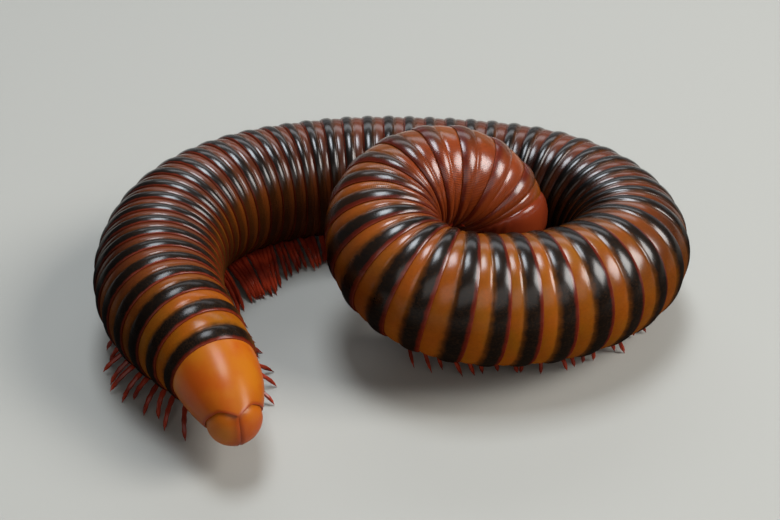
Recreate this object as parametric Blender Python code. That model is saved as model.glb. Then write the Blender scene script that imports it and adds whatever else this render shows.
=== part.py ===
"""A giant orange-banded millipede at rest, life size: its body lies in a flat coil with the head in the middle.

Lengths are metres and Z is up. The feet stand on z = 0. The body is measured along its middle line, from the
tail to the head, and every ring, leg and plate is placed by its distance along that line.
"""

import math

import bmesh
import bpy
import numpy as np
from mathutils import Matrix, Vector

MM = 0.001

# Size of the body
TRUNK_RADIUS = 6.25 * MM
TAIL_RADIUS = 4.05 * MM
NECK_RADIUS = 4.6 * MM
TAIL_TAPER = 18.0 * MM
NECK_TAPER = 34.0 * MM
NECK_TAPER_POWER = 1.5

# The middle line of the body on the floor, from the tip of the tail to the neck, in millimetres
ROUTE = (
    (-13.8, -21.9, 5.8),
    (-16.5, -15.8, 7.0),
    (-21.0, -9.0, 7.4),
    (-23.0, -1.5, 7.4),
    (-21.7, 6.0, 7.7),
    (-17.3, 11.5, 7.7),
    (-10.9, 15.5, 7.2),
    (-3.1, 16.9, 7.3),
    (4.2, 16.9, 7.2),
    (11.4, 16.4, 6.95),
    (18.4, 13.8, 6.9),
    (23.4, 7.7, 7.0),
    (24.0, 1.7, 7.2),
    (21.5, -2.7, 7.6),
    (16.6, -6.3, 8.0),
    (10.5, -7.9, 8.4),
    (5.0, -7.9, 9.3),
    (1.0, -5.6, 10.5),
    (-0.6, -1.8, 11.9),
    (0.5, 2.5, 13.2),
    (3.7, 4.9, 14.0),
    (8.3, 5.8, 13.2),
    (11.3, 5.2, 10.1),
    (12.0, 4.2, 7.6),
    (12.0, 3.9, 4.2),
)

# Rings: where the trunk starts and ends along the middle line, and how many rings each of its lengths has
TRUNK_START = 5.6 * MM
TRUNK_END = 140.0 * MM
RINGS_OF_LENGTH = (7, 7, 7, 7, 6, 6, 6, 6, 7)
# Length of a ring, in millimetres, at distances from the tail: the rings are pushed together or drawn apart
PITCH_AT = (5.6, 12.5, 27.5, 50.0, 77.5, 86.0, 91.0, 111.0, 114.0, 122.0, 128.0, 135.0, 140.0)
PITCHES = (3.1, 2.3, 2.06, 2.12, 2.37, 1.9, 2.75, 2.8, 2.25, 2.1, 2.4, 2.5, 2.1)
HIND_RISE = 0.08 * MM
CREST_RISE = 0.20 * MM
CREST_SHARE = 0.28
STEP_SHARE = 0.08
SIDES = 20
GAP = 0.3 * MM

# How far the back leans outwards, at shares of the middle line
LEAN_SHARES = (0.0, 0.62, 0.75, 0.92, 1.0)
LEAN_DEGREES = (0.0, 0.0, 15.0, 40.0, 65.0)

# Legs
PAIR_SHARES = (0.28, 0.76)
LEG_ROOT_DEPTH = 0.80
LEG_ROOT_SPREAD = 0.16
LEG_KNEE_DROP = 1.0
LEG_KNEE_SPREAD = 0.45
LEG_KNEE_SHARE = 0.76
KNEE_LOWEST = 2.0 * MM
# How far the feet stand out on the outer and the inner side, in millimetres, at distances from the tail
OUTER_REACH_AT = (9.0, 12.0, 16.0, 26.0, 36.0, 84.0, 94.0, 103.0, 110.0, 116.0)
OUTER_REACH = (3.9, 5.2, 6.3, 6.5, 5.0, 4.7, 3.2, 2.2, 1.1, 0.6)
INNER_REACH_AT = (9.0, 10.5, 14.0, 24.0, 30.0, 34.0, 40.0, 47.0, 84.0, 100.0, 116.0)
INNER_REACH = (6.0, 7.6, 7.4, 6.6, 6.6, 7.6, 8.2, 6.2, 4.8, 5.6, 6.6)
# How far the feet are set ahead of their roots: the hindmost trail, the rest sway to and fro
TRAIL_AT = (9.0, 10.5, 12.0, 20.0, 34.0)
TRAIL = (-3.0, -2.2, -1.8, -0.8, 0.0)
INNER_TRAIL_AT = (9.0, 10.5, 12.0, 18.0, 25.0, 36.0, 43.0, 52.0)
INNER_TRAIL = (-3.0, -2.2, -1.8, -1.2, -2.6, -2.4, -0.8, 0.0)
SWAY = 0.45 * MM
SWAY_LENGTH = 10.5 * MM
FOOT_SPACING = 0.66 * MM
FOLDED_SHARES = ((0.8, 0.16), (1.06, 0.34), (1.16, 0.22))
FOLDED_SPACING = 1.25 * MM
LEG_ROOT_RADIUS = 0.39 * MM
LEG_KNEE_RADIUS = 0.35 * MM
FOOT_RADIUS = 0.26 * MM
STANDING_UNTIL = 115.0 * MM
LEGLESS_TAIL_RINGS = 1

# Tail end
PREANAL_END = 0.2 * MM
PREANAL_END_RADIUS = 2.75 * MM
PREANAL_FULLNESS = 2.0
PREANAL_SLOPE = 0.35
VALVE_LENGTH = 2.15 * MM
VALVE_WIDTH = 2.4 * MM
VALVE_HEIGHT = 2.45 * MM

# Head end
COLLUM_LENGTH = 2.2 * MM
HEAD_AHEAD = 2.0 * MM
HEAD_BELOW = 0.5 * MM
HEAD_BOW = 38.0
HEAD_GAP = 0.16 * MM
# Half sizes and middles on the head, in millimetres: ahead to the mouth, aside, above to the face
HEAD_HALF = (3.6, 4.0, 2.8)
LIP_MIDDLE = (1.0, 0.0, -1.9)
LIP_HALF = (2.0, 1.6, 0.9)
JAW_MIDDLE = (1.0, 2.6, -0.9)
JAW_HALF = (1.8, 1.3, 1.5)
EYE_MIDDLE = (-1.0, 2.75, 1.55)
EYE_HALF = (0.85, 0.6, 0.55)
ANTENNA_SPOTS = (
    (0.7, 2.0, 2.75),
    (1.5, 2.7, 3.0),
    (2.5, 3.4, 2.7),
    (3.4, 3.7, 1.9),
    (4.2, 3.6, 1.0),
    (4.8, 3.2, 0.1),
)
ANTENNA_RADII = (0.3, 0.36, 0.33, 0.37, 0.36, 0.26)

UP = Vector((0.0, 0.0, 1.0))


class MiddleLine:
    """A smooth curve through the route's points, read by distance from the tail."""

    def __init__(self, points, samples_per_span=60):
        points = np.array(points) * MM
        knots = np.concatenate([[0.0], np.cumsum(np.linalg.norm(np.diff(points, axis=0), axis=1))])
        bends = self.second_differences(knots, points)
        places = []
        headings = []
        for i in range(len(knots) - 1):
            span = knots[i + 1] - knots[i]
            last = i == len(knots) - 2
            for share in np.linspace(0.0, 1.0, samples_per_span, endpoint=last):
                a, b = 1.0 - share, share
                curve_a = (a**3 - a) * span**2 / 6.0
                curve_b = (b**3 - b) * span**2 / 6.0
                places.append(a * points[i] + b * points[i + 1] + curve_a * bends[i] + curve_b * bends[i + 1])
                slope_a = -(3.0 * a**2 - 1.0) * span / 6.0
                slope_b = (3.0 * b**2 - 1.0) * span / 6.0
                rise = (points[i + 1] - points[i]) / span
                headings.append(rise + slope_a * bends[i] + slope_b * bends[i + 1])
        self.places = np.array(places)
        self.headings = np.array(headings)
        steps = np.linalg.norm(np.diff(self.places, axis=0), axis=1)
        self.distances = np.concatenate([[0.0], np.cumsum(steps)])
        self.length = float(self.distances[-1])

    @staticmethod
    def second_differences(knots, points):
        """The bends of a natural cubic curve at its knots."""
        count = len(knots)
        spans = np.diff(knots)
        system = np.eye(count)
        right = np.zeros((count, 3))
        for i in range(1, count - 1):
            system[i, i - 1] = spans[i - 1]
            system[i, i] = 2.0 * (spans[i - 1] + spans[i])
            system[i, i + 1] = spans[i]
            after = (points[i + 1] - points[i]) / spans[i]
            before = (points[i] - points[i - 1]) / spans[i - 1]
            right[i] = 6.0 * (after - before)
        return np.linalg.solve(system, right)

    def read(self, table, distance):
        return Vector([float(np.interp(distance, self.distances, table[:, axis])) for axis in range(3)])

    def station(self, distance):
        """The place, the heading to the head, the left side, and the back, at this distance from the tail."""
        place = self.read(self.places, distance)
        heading = self.read(self.headings, distance).normalized()
        level_left = UP.cross(heading).normalized()
        upmost = heading.cross(level_left)
        lean = math.radians(float(np.interp(distance / self.length, LEAN_SHARES, LEAN_DEGREES)))
        back = math.cos(lean) * upmost + math.sin(lean) * level_left
        left = math.cos(lean) * level_left - math.sin(lean) * upmost
        return place, heading, left, back


LINE = MiddleLine(ROUTE)


def body_radius(distance):
    """Radius of the body at this distance from the tail, without the rims of the rings."""
    tail_share = min(max((distance - TRUNK_START) / TAIL_TAPER, -0.35), 1.0)
    from_tail = (TRUNK_RADIUS - TAIL_RADIUS) * (1.0 - tail_share) ** 2
    neck_share = min(max((distance - TRUNK_END + NECK_TAPER) / NECK_TAPER, 0.0), 1.0)
    to_neck = (TRUNK_RADIUS - NECK_RADIUS) * neck_share**NECK_TAPER_POWER
    return TRUNK_RADIUS - from_tail - to_neck


def ring_edges():
    """Distances of the hind edges of all rings, and of the front edge of the last."""
    count = sum(RINGS_OF_LENGTH)
    places = np.linspace(TRUNK_START, TRUNK_END, 3000)
    middles = 0.5 * (places[1:] + places[:-1])
    pitches = np.interp(middles / MM, PITCH_AT, PITCHES) * MM
    counted = np.concatenate([[0.0], np.cumsum(np.diff(places) / pitches)])
    goals = np.linspace(0.0, counted[-1], count + 1)
    return [float(np.interp(goal, counted, places)) for goal in goals]


EDGES = ring_edges()


def new_material(name, colour, roughness):
    material = bpy.data.materials.new(name)
    material.use_nodes = True
    shader = material.node_tree.nodes["Principled BSDF"]
    shader.inputs["Base Color"].default_value = (*colour, 1.0)
    shader.inputs["Roughness"].default_value = roughness
    return material


def new_object(name, mesh_builder, material, collection):
    """An object of the closed mesh, with its faces pointing out."""
    bmesh.ops.recalc_face_normals(mesh_builder, faces=mesh_builder.faces)
    mesh = bpy.data.meshes.new(name)
    mesh_builder.to_mesh(mesh)
    mesh_builder.free()
    if material:
        mesh.materials.append(material)
    result = bpy.data.objects.new(name, mesh)
    collection.objects.link(result)
    return result


def loft(sections):
    """A closed mesh through like sections, each a list of points."""
    builder = bmesh.new()
    rows = [[builder.verts.new(point) for point in section] for section in sections]
    count = len(rows[0])
    for row, following in zip(rows, rows[1:]):
        for i in range(count):
            j = (i + 1) % count
            builder.faces.new((row[i], row[j], following[j], following[i]))
    builder.faces.new(list(reversed(rows[0])))
    builder.faces.new(rows[-1])
    return builder


def body_section(distance, rim):
    place, heading, left, back = LINE.station(distance)
    radius = body_radius(distance) + rim
    turns = [2.0 * math.pi * i / SIDES for i in range(SIDES)]
    return [place + radius * (math.cos(turn) * left + math.sin(turn) * back) for turn in turns]


def trunk_length(first_ring, ring_count, start, end):
    """The rings of one length of the trunk, each bulging near its hind edge, which steps down to the next."""
    sections = []
    for ring in range(first_ring, first_ring + ring_count):
        hind = max(EDGES[ring], start)
        front = min(EDGES[ring + 1], end)
        step = STEP_SHARE * (front - hind)
        sections.append(body_section(hind, HIND_RISE))
        sections.append(body_section(hind + CREST_SHARE * (front - hind), CREST_RISE))
        sections.append(body_section(front - step, 0.0))
    sections.append(body_section(end, 0.0))
    return loft(sections)


def square_section(place, heading, along, radius):
    """Four corners across the leg's heading, the first towards the head of the animal."""
    over = along.cross(heading).normalized()
    corners = ((1, 0), (0, 1), (-1, 0), (0, -1))
    return [place + radius * (a * along + b * over) for a, b in corners]


def folded_leg_points(distance, side):
    """Root, knee and tip of a leg that is folded against the belly."""
    place, heading, left, back = LINE.station(distance)
    radius = body_radius(distance)
    points = []
    for depth, spread in FOLDED_SHARES:
        points.append(place - depth * radius * back + side * spread * radius * left)
    return points


def standing_leg_points(distance, side):
    """Root, knee and foot of a leg that stands on the floor. The outer side of the coil is the left, side 1."""
    place, heading, left, back = LINE.station(distance)
    radius = body_radius(distance)
    level_left = UP.cross(heading).normalized()
    along = Vector((heading.x, heading.y, 0.0)).normalized()
    root = place - LEG_ROOT_DEPTH * radius * back + side * LEG_ROOT_SPREAD * radius * left
    table_at, table = (OUTER_REACH_AT, OUTER_REACH) if side > 0 else (INNER_REACH_AT, INNER_REACH)
    reach = float(np.interp(distance / MM, table_at, table)) * MM
    trail_at, trail = (TRAIL_AT, TRAIL) if side > 0 else (INNER_TRAIL_AT, INNER_TRAIL)
    ahead = float(np.interp(distance / MM, trail_at, trail)) * MM
    ahead += SWAY * math.sin(2.0 * math.pi * distance / SWAY_LENGTH + 0.8 * side)
    foot = place + side * reach * level_left + ahead * along
    foot.z = 0.0
    aside = max(LEG_KNEE_SPREAD * radius, LEG_KNEE_SHARE * reach)
    knee = place - LEG_KNEE_DROP * radius * back + side * aside * level_left + 0.6 * ahead * along
    knee.z = max(knee.z, KNEE_LOWEST)
    return root, knee, foot


def leg(distance, side):
    """One leg: from its root in the belly by the knee to a flat foot on the floor, or folded where the body is up."""
    heading = LINE.station(distance)[1]
    if distance < STANDING_UNTIL:
        along = Vector((heading.x, heading.y, 0.0)).normalized()
        root, knee, foot = standing_leg_points(distance, side)
        foot_section = square_section(foot, -UP, along, FOOT_RADIUS)
    else:
        along = heading
        root, knee, foot = folded_leg_points(distance, side)
        foot_section = square_section(foot, (foot - knee).normalized(), along, FOOT_RADIUS)
    root_section = square_section(root, (knee - root).normalized(), along, LEG_ROOT_RADIUS)
    knee_section = square_section(knee, (foot - root).normalized(), along, LEG_KNEE_RADIUS)
    return loft([root_section, knee_section, foot_section])


def joined(base, pieces, collection):
    """The base with all the pieces fused to it, as one closed mesh."""
    helpers = bpy.data.collections.new("pieces of " + base.name)
    bpy.context.scene.collection.children.link(helpers)
    for index, piece in enumerate(pieces):
        helper = new_object(f"{base.name}_piece_{index}", piece, None, helpers)
        helper.hide_render = True
    fuse = base.modifiers.new("fuse", "BOOLEAN")
    fuse.operation = "UNION"
    fuse.solver = "EXACT"
    fuse.operand_type = "COLLECTION"
    fuse.collection = helpers
    bpy.context.view_layer.objects.active = base
    bpy.ops.object.modifier_apply(modifier=fuse.name)
    for helper in list(helpers.objects):
        bpy.data.objects.remove(helper, do_unlink=True)
    bpy.data.collections.remove(helpers)
    keep_largest(base)


def cut(base, cutter, collection):
    """The base with the closed cutter taken out of it."""
    helper = new_object(base.name + "_cutter", cutter, None, collection)
    helper.hide_render = True
    carve = base.modifiers.new("carve", "BOOLEAN")
    carve.operation = "DIFFERENCE"
    carve.solver = "EXACT"
    carve.object = helper
    bpy.context.view_layer.objects.active = base
    bpy.ops.object.modifier_apply(modifier=carve.name)
    bpy.data.objects.remove(helper, do_unlink=True)
    keep_largest(base)


def keep_largest(thing):
    """Keeps the largest closed surface of the object's mesh."""
    builder = bmesh.new()
    builder.from_mesh(thing.data)
    bmesh.ops.remove_doubles(builder, verts=builder.verts, dist=0.00002 * MM)
    builder.faces.ensure_lookup_table()
    unseen = set(builder.faces)
    groups = []
    while unseen:
        start = unseen.pop()
        group = [start]
        waiting = [start]
        while waiting:
            for edge in waiting.pop().edges:
                for face in edge.link_faces:
                    if face in unseen:
                        unseen.remove(face)
                        group.append(face)
                        waiting.append(face)
        groups.append(group)
    groups.sort(key=lambda group: -len(group))
    rest = [face for group in groups[1:] for face in group]
    if rest:
        bmesh.ops.delete(builder, geom=rest, context="FACES")
    loose = [vertex for vertex in builder.verts if not vertex.link_faces]
    bmesh.ops.delete(builder, geom=loose, context="VERTS")
    builder.to_mesh(thing.data)
    builder.free()


def oval(half_sizes, turn, centre, rings=10, sides=16):
    """A closed oval ball, turned by the 3 by 3 matrix."""
    builder = bmesh.new()
    bmesh.ops.create_uvsphere(builder, u_segments=sides, v_segments=rings, radius=1.0)
    place = Matrix.Translation(centre) @ turn.to_4x4() @ Matrix.Diagonal((*half_sizes, 1.0))
    bmesh.ops.transform(builder, matrix=place, verts=builder.verts)
    return builder


def box(half_sizes, turn, centre):
    builder = bmesh.new()
    bmesh.ops.create_cube(builder, size=2.0)
    place = Matrix.Translation(centre) @ turn.to_4x4() @ Matrix.Diagonal((*half_sizes, 1.0))
    bmesh.ops.transform(builder, matrix=place, verts=builder.verts)
    return builder


def tube(points, radii, sides=8):
    """A closed tube through the points."""
    sections = []
    for i, point in enumerate(points):
        before = points[max(i - 1, 0)]
        after = points[min(i + 1, len(points) - 1)]
        heading = (after - before).normalized()
        across = heading.cross(UP)
        if across.length < 0.2:
            across = heading.cross(Vector((1.0, 0.0, 0.0)))
        across.normalize()
        over = across.cross(heading).normalized()
        turns = [2.0 * math.pi * k / sides for k in range(sides)]
        sections.append([point + radii[i] * (math.cos(t) * across + math.sin(t) * over) for t in turns])
    return loft(sections)


def axes_matrix(heading, left, back):
    """Columns: forwards, left, back."""
    return Matrix((heading, left, back)).transposed()


def build_trunk(collection, shell):
    """The lengths of the trunk with their legs."""
    first = 0
    total = sum(RINGS_OF_LENGTH)
    tips = []
    for number, ring_count in enumerate(RINGS_OF_LENGTH, start=1):
        start = EDGES[first] + (GAP if number > 1 else 0.0)
        end = EDGES[first + ring_count]
        length = new_object(f"body_length_{number}", trunk_length(first, ring_count, start, end), shell, collection)
        legs = []
        for ring in range(first, first + ring_count):
            if ring < LEGLESS_TAIL_RINGS or ring >= total - 1:
                continue
            for share in PAIR_SHARES:
                distance = EDGES[ring] + share * (EDGES[ring + 1] - EDGES[ring])
                if distance < start + 0.5 * MM or distance > end - 0.5 * MM:
                    continue
                for side in (-1, 1):
                    folded = distance >= STANDING_UNTIL
                    tip = (folded_leg_points if folded else standing_leg_points)(distance, side)[2]
                    spacing = FOLDED_SPACING if folded else FOOT_SPACING
                    if any((tip - other).length < spacing for other in tips):
                        continue
                    tips.append(tip)
                    legs.append(leg(distance, side))
        joined(length, legs, collection)
        first += ring_count


def build_tail(collection, shell):
    """The last ring before the vent, and the two valves that close it."""
    sections = []
    start = TRUNK_START - GAP
    for share in (0.0, 0.35, 0.7, 0.9, 1.0):
        distance = start + (PREANAL_END - start) * share
        place, heading, left, back = LINE.station(max(distance, 0.0))
        radius = body_radius(TRUNK_START) + (PREANAL_END_RADIUS - body_radius(TRUNK_START)) * share**PREANAL_FULLNESS
        turns = [2.0 * math.pi * i / SIDES for i in range(SIDES)]
        slope = PREANAL_SLOPE * share
        sections.append(
            [
                place
                + radius * (math.cos(turn) * left + math.sin(turn) * back)
                - slope * radius * math.sin(turn) * heading
                for turn in turns
            ]
        )
    new_object("preanal_ring", loft(sections), shell, collection)
    place, heading, left, back = LINE.station(0.0)
    turn = axes_matrix(heading, left, back)
    for name, side in (("anal_valve_left", 1), ("anal_valve_right", -1)):
        valve = new_object(
            name,
            oval((VALVE_LENGTH, VALVE_WIDTH, VALVE_HEIGHT), turn, place - 0.2 * MM * heading),
            shell,
            collection,
        )
        big = 10.0 * MM
        halver = place - side * (big - 0.15 * MM) * left
        cut(valve, box((big, big, big), turn, halver), collection)
        lean = Matrix.Rotation(-math.atan(PREANAL_SLOPE), 3, left)
        ahead = (heading + PREANAL_SLOPE * back).normalized()
        front = place + (PREANAL_END - 1.1 * GAP) * heading + big * ahead
        cut(valve, box((big, big, big), lean @ turn, front), collection)


def build_head(collection, shell, dark, horn):
    """The collar plate, the head capsule with its jaws and lip plate, the eyes and the antennae."""
    sections = []
    for share in (0.0, 0.5, 0.85, 1.0):
        distance = TRUNK_END + GAP + share * COLLUM_LENGTH
        radius = body_radius(TRUNK_END) * (1.0 - 0.16 * share**2)
        turns = [2.0 * math.pi * i / SIDES for i in range(SIDES)]
        place, along, left, back = LINE.station(distance)
        sections.append([place + radius * (math.cos(t) * left + math.sin(t) * back) for t in turns])
    new_object("collum", loft(sections), shell, collection)

    place, along, left, back = LINE.station(TRUNK_END + GAP + COLLUM_LENGTH)
    bow = Matrix.Rotation(math.radians(HEAD_BOW), 3, left)
    forwards = bow @ along
    over = bow @ back
    turn = axes_matrix(forwards, left, over)
    centre = place + HEAD_AHEAD * along - HEAD_BELOW * back

    def spot(ahead, aside, above):
        """A place on the head: ahead, aside to its left, and above, in millimetres from its middle."""
        return centre + MM * (ahead * forwards + aside * left + above * over)

    def head_oval(middle, half_sizes, grown=0.0, rings=10, sides=16):
        half = [MM * value + grown for value in half_sizes]
        return oval(half, turn, spot(*middle), rings, sides)

    head = new_object("head", head_oval((0.0, 0.0, 0.0), HEAD_HALF, 0.0, 14, 24), dark, collection)
    big = 10.0 * MM
    behind = place + (GAP - big) * along
    cut(head, box((big, big, big), axes_matrix(along, left, back), behind), collection)
    plate = new_object("lip_plate", head_oval(LIP_MIDDLE, LIP_HALF), horn, collection)
    cut(head, head_oval(LIP_MIDDLE, LIP_HALF, HEAD_GAP), collection)
    for name, side in (("left", 1), ("right", -1)):
        middle = (JAW_MIDDLE[0], side * JAW_MIDDLE[1], JAW_MIDDLE[2])
        jaw = new_object("mandible_" + name, head_oval(middle, JAW_HALF), horn, collection)
        cut(jaw, head_oval(LIP_MIDDLE, LIP_HALF, HEAD_GAP), collection)
        cut(head, head_oval(middle, JAW_HALF, HEAD_GAP), collection)
        middle = (EYE_MIDDLE[0], side * EYE_MIDDLE[1], EYE_MIDDLE[2])
        new_object("eye_" + name, head_oval(middle, EYE_HALF, 0.0, 8, 12), horn, collection)
        cut(head, head_oval(middle, EYE_HALF, 0.5 * HEAD_GAP, 8, 12), collection)
        points = [spot(ahead, side * aside, above) for ahead, aside, above in ANTENNA_SPOTS]
        new_object("antenna_" + name, tube(points, [MM * value for value in ANTENNA_RADII]), horn, collection)


def main():
    for thing in list(bpy.data.objects):
        bpy.data.objects.remove(thing, do_unlink=True)
    collection = bpy.data.collections.new("millipede")
    bpy.context.scene.collection.children.link(collection)
    shell = new_material("shell", (0.16, 0.055, 0.012), 0.25)
    dark = new_material("head_shell", (0.11, 0.03, 0.01), 0.3)
    horn = new_material("horn", (0.14, 0.02, 0.01), 0.35)
    build_trunk(collection, shell)
    build_tail(collection, shell)
    build_head(collection, shell, dark, horn)
    points = [vertex.co for thing in collection.objects for vertex in thing.data.vertices]
    low = Vector([min(point[axis] for point in points) for axis in range(3)])
    high = Vector([max(point[axis] for point in points) for axis in range(3)])
    shift = Vector((-0.5 * (low.x + high.x), -0.5 * (low.y + high.y), 0.0))
    for thing in collection.objects:
        for vertex in thing.data.vertices:
            vertex.co += shift
    print("moved by", [round(value * 1000.0, 3) for value in shift], "lowest", round(low.z * 1000.0, 4))


main()
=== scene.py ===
"""A giant orange-banded millipede at rest: its shell, legs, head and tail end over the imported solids."""

import math
import random

import bpy
import numpy as np
from mathutils import Matrix, Vector


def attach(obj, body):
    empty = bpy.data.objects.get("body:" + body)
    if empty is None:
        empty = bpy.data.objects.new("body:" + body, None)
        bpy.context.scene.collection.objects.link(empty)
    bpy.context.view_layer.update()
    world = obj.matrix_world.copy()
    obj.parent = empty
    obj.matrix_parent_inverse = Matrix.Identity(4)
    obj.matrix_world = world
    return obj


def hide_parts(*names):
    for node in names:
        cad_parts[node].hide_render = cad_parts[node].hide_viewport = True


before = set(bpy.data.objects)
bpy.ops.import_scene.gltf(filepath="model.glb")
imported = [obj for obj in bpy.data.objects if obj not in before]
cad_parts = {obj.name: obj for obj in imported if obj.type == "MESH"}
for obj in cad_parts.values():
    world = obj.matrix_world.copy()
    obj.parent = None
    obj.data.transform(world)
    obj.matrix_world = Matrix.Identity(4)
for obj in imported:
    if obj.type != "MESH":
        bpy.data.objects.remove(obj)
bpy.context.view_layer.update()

bl_info = {
    "name": "Coiled Millipede",
    "version": (1, 0, 0),
    "blender": (4, 5, 0),
    "location": "View3D > Sidebar > Millipede",
    "description": "Builds the rings, legs, head and tail of a resting millipede on its solids",
    "category": "Object",
}

MM = 0.001
UP = Vector((0.0, 0.0, 1.0))
ROOT = "root"

# The middle line of the body from the tip of the tail to the neck, in millimetres, and how far it was moved
ROUTE = (
    (-13.8, -21.9, 5.8),
    (-16.5, -15.8, 7.0),
    (-21.0, -9.0, 7.4),
    (-23.0, -1.5, 7.4),
    (-21.7, 6.0, 7.7),
    (-17.3, 11.5, 7.7),
    (-10.9, 15.5, 7.2),
    (-3.1, 16.9, 7.3),
    (4.2, 16.9, 7.2),
    (11.4, 16.4, 6.95),
    (18.4, 13.8, 6.9),
    (23.4, 7.7, 7.0),
    (24.0, 1.7, 7.2),
    (21.5, -2.7, 7.6),
    (16.6, -6.3, 8.0),
    (10.5, -7.9, 8.4),
    (5.0, -7.9, 9.3),
    (1.0, -5.6, 10.5),
    (-0.6, -1.8, 11.9),
    (0.5, 2.5, 13.2),
    (3.7, 4.9, 14.0),
    (8.3, 5.8, 13.2),
    (11.3, 5.2, 10.1),
    (12.0, 4.2, 7.6),
    (12.0, 3.9, 4.2),
)
MOVED = Vector((-0.451, 0.425, 0.0)) * MM

# Sizes shared with the solids
TRUNK_RADIUS = 6.25 * MM
TAIL_RADIUS = 4.05 * MM
NECK_RADIUS = 4.6 * MM
TAIL_TAPER = 18.0 * MM
NECK_TAPER = 34.0 * MM
NECK_TAPER_POWER = 1.5
TRUNK_START = 5.6 * MM
TRUNK_END = 140.0 * MM
RINGS_OF_LENGTH = (7, 7, 7, 7, 6, 6, 6, 6, 7)
PITCH_AT = (5.6, 12.5, 27.5, 50.0, 77.5, 86.0, 91.0, 111.0, 114.0, 122.0, 128.0, 135.0, 140.0)
PITCHES = (3.1, 2.3, 2.06, 2.12, 2.37, 1.9, 2.75, 2.8, 2.25, 2.1, 2.4, 2.5, 2.1)
LEAN_SHARES = (0.0, 0.62, 0.75, 0.92, 1.0)
LEAN_DEGREES = (0.0, 0.0, 15.0, 40.0, 65.0)
PAIR_SHARES = (0.28, 0.76)
LEG_ROOT_DEPTH = 0.80
LEG_ROOT_SPREAD = 0.16
LEG_KNEE_DROP = 1.0
LEG_KNEE_SPREAD = 0.45
LEG_KNEE_SHARE = 0.76
KNEE_LOWEST = 2.0 * MM
# Reach and trail of the feet on each side of the coil, by distance from the tail, in millimetres
OUTER_REACH = (
    (9.0, 3.9), (12.0, 5.2), (16.0, 6.3), (26.0, 6.5), (36.0, 5.0),
    (84.0, 4.7), (94.0, 3.2), (103.0, 2.2), (110.0, 1.1), (116.0, 0.6),
)
INNER_REACH = (
    (9.0, 6.0), (10.5, 7.6), (14.0, 7.4), (24.0, 6.6), (30.0, 6.6), (34.0, 7.6),
    (40.0, 8.2), (47.0, 6.2), (84.0, 4.8), (100.0, 5.6), (116.0, 6.6),
)
OUTER_TRAIL = ((9.0, -3.0), (10.5, -2.2), (12.0, -1.8), (20.0, -0.8), (34.0, 0.0))
INNER_TRAIL = (
    (9.0, -3.0), (10.5, -2.2), (12.0, -1.8), (18.0, -1.2),
    (25.0, -2.6), (36.0, -2.4), (43.0, -0.8), (52.0, 0.0),
)
SWAY = 0.45 * MM
SWAY_LENGTH = 10.5 * MM
# How near two feet may stand
FOOT_SPACING = 0.05 * MM
# The crowded fringe inside the tail's bend: places along a ring, where it runs, and its feet's extra reach
CROWDED_SHARES = (0.04, 0.28, 0.52, 0.76)
CROWDED_FROM = 13.0 * MM
CROWDED_TO = 62.0 * MM
CROWDED_REACH = ((10, 0.0), (14, 0.8), (18, 2.2), (24, 2.4), (29, 1.2), (34, 0.7), (60, 0.5), (66, 0.0))
# How far a standing leg strays from its even place, in millimetres
OUTER_SWING = 1.5
INNER_SWING = 1.2
INNER_WAVE = 0.7
FOOT_STRAY = 1.4
FOOT_LIFT = 0.9
KNEE_STRAY = 0.5
KNEE_ARCH = 0.25
# Folded legs: depth and spread of root, knee and tip as shares of the radius, and how near two may lie
FOLDED_SHARES = ((0.8, 0.16), (1.06, 0.34), (1.16, 0.22))
FOLDED_SPACING = 0.9 * MM
# Legs stand up to here, and the last ring before the tail end has none
STANDING_UNTIL = 115.0 * MM
LEGLESS_TAIL_RINGS = 1
# The tail end and the head, as the solids have them
PREANAL_END = 0.2 * MM
PREANAL_END_RADIUS = 2.75 * MM
PREANAL_FULLNESS = 2.0
PREANAL_SLOPE = 0.35
TAIL_POINT = 0.9 * MM
VALVE_LENGTH = 2.15 * MM
VALVE_WIDTH = 2.4 * MM
VALVE_HEIGHT = 2.45 * MM
GAP = 0.3 * MM
COLLUM_LENGTH = 2.2 * MM
HEAD_AHEAD = 2.0 * MM
HEAD_BELOW = 0.5 * MM
HEAD_BOW = 38.0
HEAD_HALF = (3.6, 4.0, 2.8)
LIP_MIDDLE = (1.0, 0.0, -1.9)
LIP_HALF = (2.0, 1.6, 0.9)
JAW_MIDDLE = (1.0, 2.6, -0.9)
JAW_HALF = (1.8, 1.3, 1.5)
EYE_MIDDLE = (-1.0, 2.75, 1.55)
EYE_HALF = (0.85, 0.6, 0.55)
ANTENNA_SPOTS = (
    (0.7, 2.0, 2.75),
    (1.5, 2.7, 3.0),
    (2.5, 3.4, 2.7),
    (3.4, 3.7, 1.9),
    (4.2, 3.6, 1.0),
    (4.8, 3.2, 0.1),
)

# One ring, straight: share of its length from the hind edge, and rise over the body in millimetres
RING_PROFILE = (
    (1.14, -0.60),
    (1.08, -0.20),
    (1.0, -0.08),
    (0.93, -0.02),
    (0.85, 0.02),
    (0.77, 0.045),
    (0.69, 0.055),
    (0.64, 0.045),
    (0.605, 0.0),
    (0.575, 0.0),
    (0.54, 0.068),
    (0.48, 0.132),
    (0.41, 0.178),
    (0.33, 0.20),
    (0.25, 0.20),
    (0.18, 0.18),
    (0.12, 0.15),
    (0.065, 0.11),
    (0.025, 0.075),
    (0.0, 0.04),
    (-0.005, -0.03),
    (0.01, -0.2),
    (0.05, -0.60),
)
HIND_PART = 0.59
RING_SIDES = 96
# How the painted bands narrow with the bend, and the limits that keep a ring from passing through itself
BAND_STRETCH = 0.85
LEAST_STRETCH = 0.08
TIGHTEST = 0.93

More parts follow.
